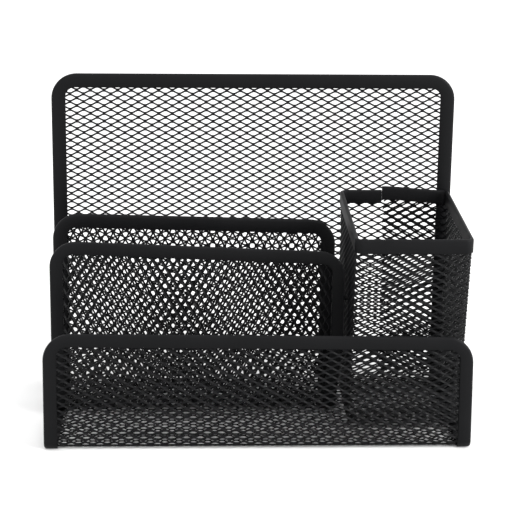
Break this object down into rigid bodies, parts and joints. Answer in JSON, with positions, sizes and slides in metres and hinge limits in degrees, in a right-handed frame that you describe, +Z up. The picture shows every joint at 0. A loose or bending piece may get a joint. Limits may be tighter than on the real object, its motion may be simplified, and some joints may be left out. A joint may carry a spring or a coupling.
{
  "type": "desk organizer",
  "caption": "Black steel-mesh desk organizer: low front tray, stepped letter dividers, tall back panel and a rectangular pen cup in the rear right corner.",
  "frame": {"origin": "middle of the bounding box's underside, on the surface it stands on", "axes": "+X to the right along the width, +Y from the low front panel to the tall back panel, +Z up"},
  "size_m": [0.205, 0.1, 0.1635],
  "materials": {
    "expanded_mesh": "satin black powder coat on expanded steel sheet",
    "edging": "satin black powder coat on folded steel strip",
    "rim_band": "satin black powder coat on folded steel band",
    "spot_weld": "black powder coat over a spot weld"
  },
  "bodies": {
    "root": {"front_panel_mesh": "expanded_mesh", "base_mesh": "expanded_mesh", "back_panel_mesh": "expanded_mesh", "front_edging": "edging", "back_edging": "edging", "left_base_edging": "edging", "right_base_edging": "edging", "front_divider_mesh": "expanded_mesh", "divider_base_mesh": "expanded_mesh", "rear_divider_mesh": "expanded_mesh", "front_divider_edging": "edging", "rear_divider_edging": "edging", "divider_left_edging": "edging", "divider_right_edging": "edging", "cup_front_wall": "expanded_mesh", "cup_left_wall": "expanded_mesh", "cup_right_wall": "expanded_mesh", "cup_rear_flange": "expanded_mesh", "cup_base_mesh": "expanded_mesh", "cup_rim_band": "rim_band", "divider_floor_welds": "spot_weld", "cup_floor_welds": "spot_weld", "cup_side_welds": "spot_weld", "cup_back_welds": "spot_weld"}
  },
  "joints": []
}
